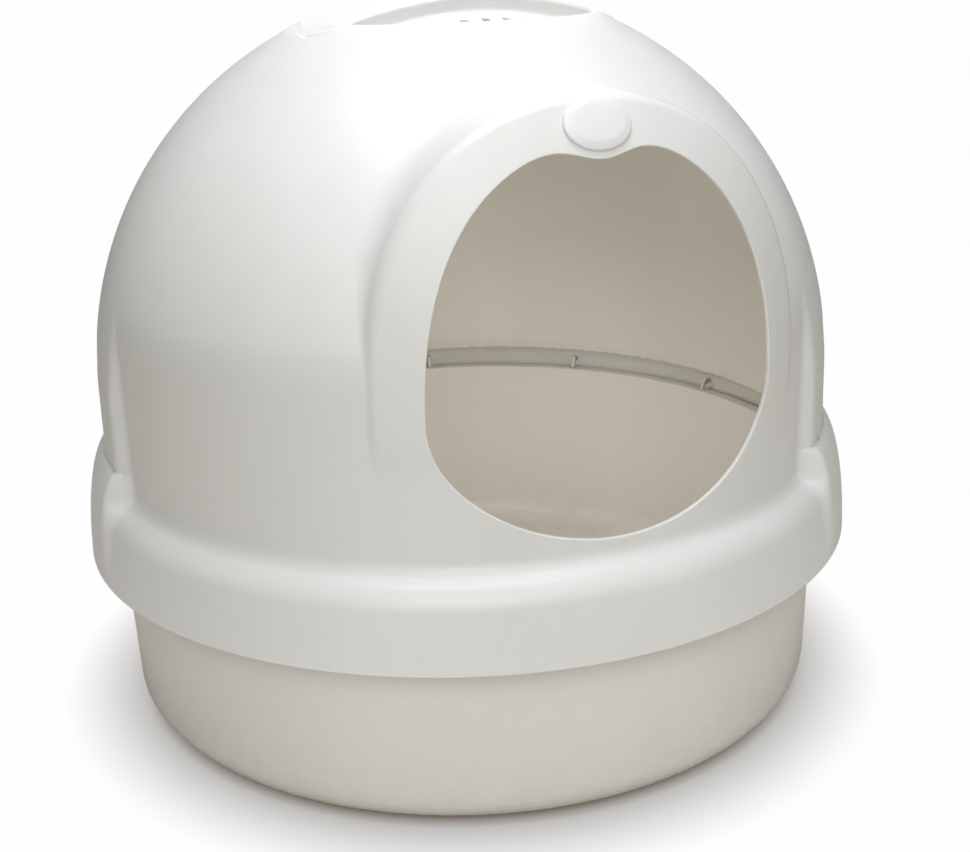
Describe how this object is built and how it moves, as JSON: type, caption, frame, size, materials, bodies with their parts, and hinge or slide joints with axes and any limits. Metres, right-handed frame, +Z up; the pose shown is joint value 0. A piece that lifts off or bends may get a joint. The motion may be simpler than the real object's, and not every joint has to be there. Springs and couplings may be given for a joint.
{
  "type": "hooded cat litter box",
  "caption": "Round hooded cat litter box: deep pan, lift-off domed hood with an arched front entry, blank oval plate, crown carry grip and filter tray under the crown.",
  "frame": {"origin": "centre of the pan's base, on the floor", "axes": "+Z up; the entry faces -Y; +X is to the right of someone looking into the entry"},
  "size_m": [0.5558, 0.5556, 0.493],
  "materials": {
    "pan_plastic": "satin pearl-white moulded plastic",
    "hood_plastic": "satin pearl-white moulded plastic",
    "plate_plastic": "satin pearl-white moulded plastic, blank",
    "tray_plastic": "plain off-white moulded plastic",
    "charcoal_felt": "charcoal-loaded felt"
  },
  "bodies": {
    "pan": {"litter_pan": "pan_plastic"},
    "hood": {"hood": "hood_plastic", "name_plate": "plate_plastic"},
    "filter": {"filter_tray": "tray_plastic", "filter_pad": "charcoal_felt"}
  },
  "joints": [
    {"name": "hood_lift", "type": "slide", "parent": "pan", "child": "hood", "axis": [0, 0, 1], "range_m": [0, 0.2]},
    {"name": "filter_pull", "type": "slide", "parent": "hood", "child": "filter", "axis": [0, 0, -1], "range_m": [0, 0.03]}
  ]
}
